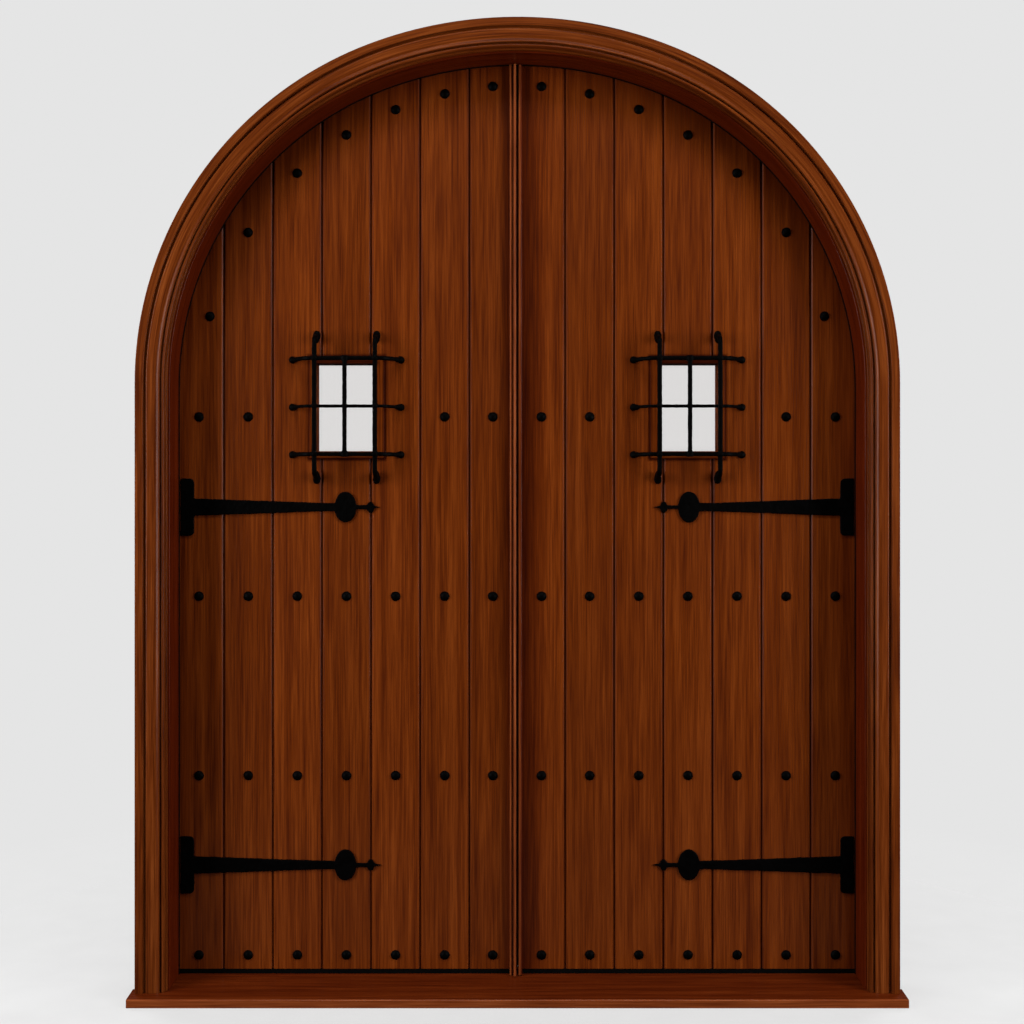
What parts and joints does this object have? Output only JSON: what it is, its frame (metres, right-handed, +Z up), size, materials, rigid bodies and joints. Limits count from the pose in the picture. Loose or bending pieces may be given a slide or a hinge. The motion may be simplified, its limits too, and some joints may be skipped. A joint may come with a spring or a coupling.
{
  "type": "arched double door in its frame",
  "caption": "Pair of arched plank doors in a timber frame with casing and sill: strap hinges, domed nail heads and a small barred window in each leaf.",
  "frame": {"origin": "middle of the sill's underside, in the plane of the jambs' outdoor edges", "axes": "+X across the opening to the right seen from outdoors, +Y indoors, +Z up"},
  "size_m": [1.989, 0.2322, 2.5311],
  "materials": {
    "leaf_wood": "satin varnish",
    "frame_wood": "satin varnish",
    "black_iron": "matte black, hammered",
    "hinge_steel": "satin",
    "seal_rubber": "matte",
    "window_glass": "clear, polished"
  },
  "bodies": {
    "frame": {"sill": "frame_wood", "jamb_left": "frame_wood", "jamb_right": "frame_wood", "head_jamb_left": "frame_wood", "head_jamb_crown": "frame_wood", "head_jamb_right": "frame_wood", "casing_left": "frame_wood", "casing_right": "frame_wood", "casing_head_left": "frame_wood", "casing_head_crown": "frame_wood", "casing_head_right": "frame_wood", "weatherstrip_left": "seal_rubber", "weatherstrip_crown": "seal_rubber", "weatherstrip_right": "seal_rubber", "left_frame_hinges": "hinge_steel", "right_frame_hinges": "hinge_steel", "left_hinge_pins": "hinge_steel", "right_hinge_pins": "hinge_steel", "left_frame_screws": "hinge_steel", "right_frame_screws": "hinge_steel"},
    "left_leaf": {"left_board_1": "leaf_wood", "left_board_2": "leaf_wood", "left_board_3": "leaf_wood", "left_board_4_low": "leaf_wood", "left_board_4_high": "leaf_wood", "left_board_5": "leaf_wood", "left_board_6": "leaf_wood", "left_board_7": "leaf_wood", "left_core": "leaf_wood", "left_astragal": "leaf_wood", "left_clavos": "black_iron", "left_strap_low": "black_iron", "left_strap_high": "black_iron", "left_grille": "black_iron", "left_trim_outdoor": "leaf_wood", "left_trim_indoor": "leaf_wood", "left_glass": "window_glass", "left_sweep": "seal_rubber", "left_leaf_hinges": "hinge_steel", "left_leaf_screws": "hinge_steel"},
    "right_leaf": {"right_board_1": "leaf_wood", "right_board_2": "leaf_wood", "right_board_3": "leaf_wood", "right_board_4_low": "leaf_wood", "right_board_4_high": "leaf_wood", "right_board_5": "leaf_wood", "right_board_6": "leaf_wood", "right_board_7": "leaf_wood", "right_core": "leaf_wood", "right_astragal": "leaf_wood", "right_clavos": "black_iron", "right_strap_low": "black_iron", "right_strap_high": "black_iron", "right_grille": "black_iron", "right_trim_outdoor": "leaf_wood", "right_trim_indoor": "leaf_wood", "right_glass": "window_glass", "right_sweep": "seal_rubber", "right_leaf_hinges": "hinge_steel", "right_leaf_screws": "hinge_steel"}
  },
  "joints": [
    {"name": "left_leaf_swing", "type": "hinge", "parent": "frame", "child": "left_leaf", "pos_m": [-0.913, 0.1557, 1], "axis": [0, 0, 1], "range_deg": [0, 110]},
    {"name": "right_leaf_swing", "type": "hinge", "parent": "frame", "child": "right_leaf", "pos_m": [0.913, 0.1557, 1], "axis": [0, 0, -1], "range_deg": [0, 110]}
  ]
}
